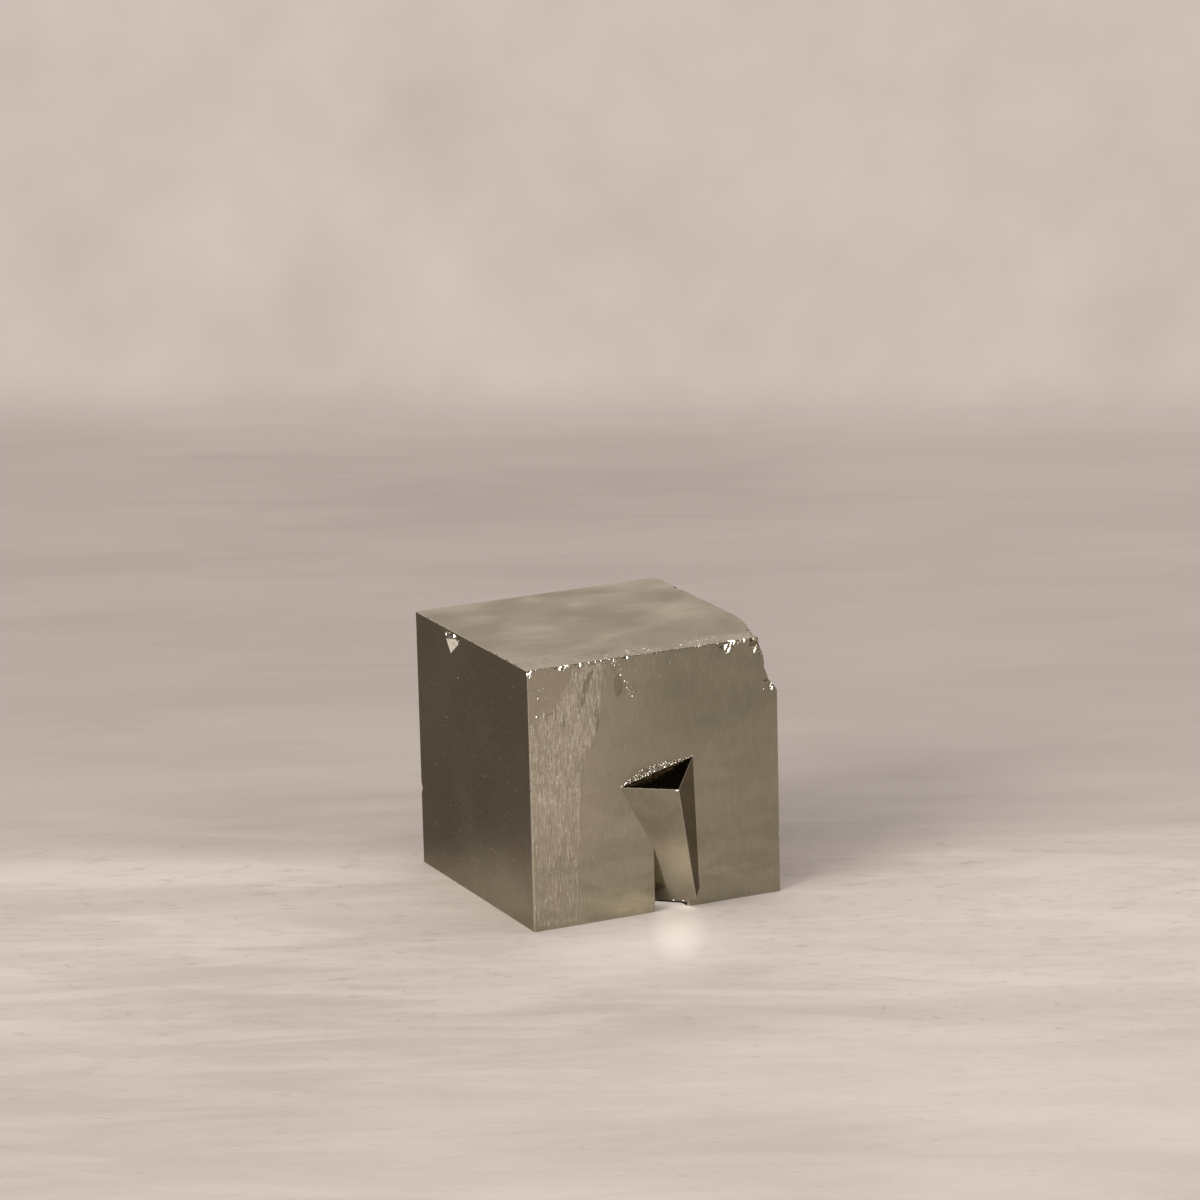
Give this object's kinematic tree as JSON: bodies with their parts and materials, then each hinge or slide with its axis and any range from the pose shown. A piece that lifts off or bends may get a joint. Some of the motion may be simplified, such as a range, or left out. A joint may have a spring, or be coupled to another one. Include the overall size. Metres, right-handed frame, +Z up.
{
  "type": "pyrite cube",
  "caption": "Sharp-edged cube of pyrite with a chipped upper edge and the corner of a tilted second cube grown out of its front face.",
  "frame": {"origin": "middle of the main crystal's bottom face, on the plane that the specimen rests on", "axes": "+X to the right along the front face, +Y to the back, +Z up; the second crystal's corner points to -Y"},
  "size_m": [0.041, 0.0466, 0.04],
  "materials": {
    "pyrite_main": "natural pyrite crystal face, pale brassy grey mirror with fine growth striations, brighter granular chips along worn edges",
    "pyrite_second": "natural pyrite crystal face, pale brassy grey mirror, smoother than the main crystal"
  },
  "bodies": {
    "root": {"main_crystal": "pyrite_main", "intergrown_crystal": "pyrite_second"}
  },
  "joints": []
}
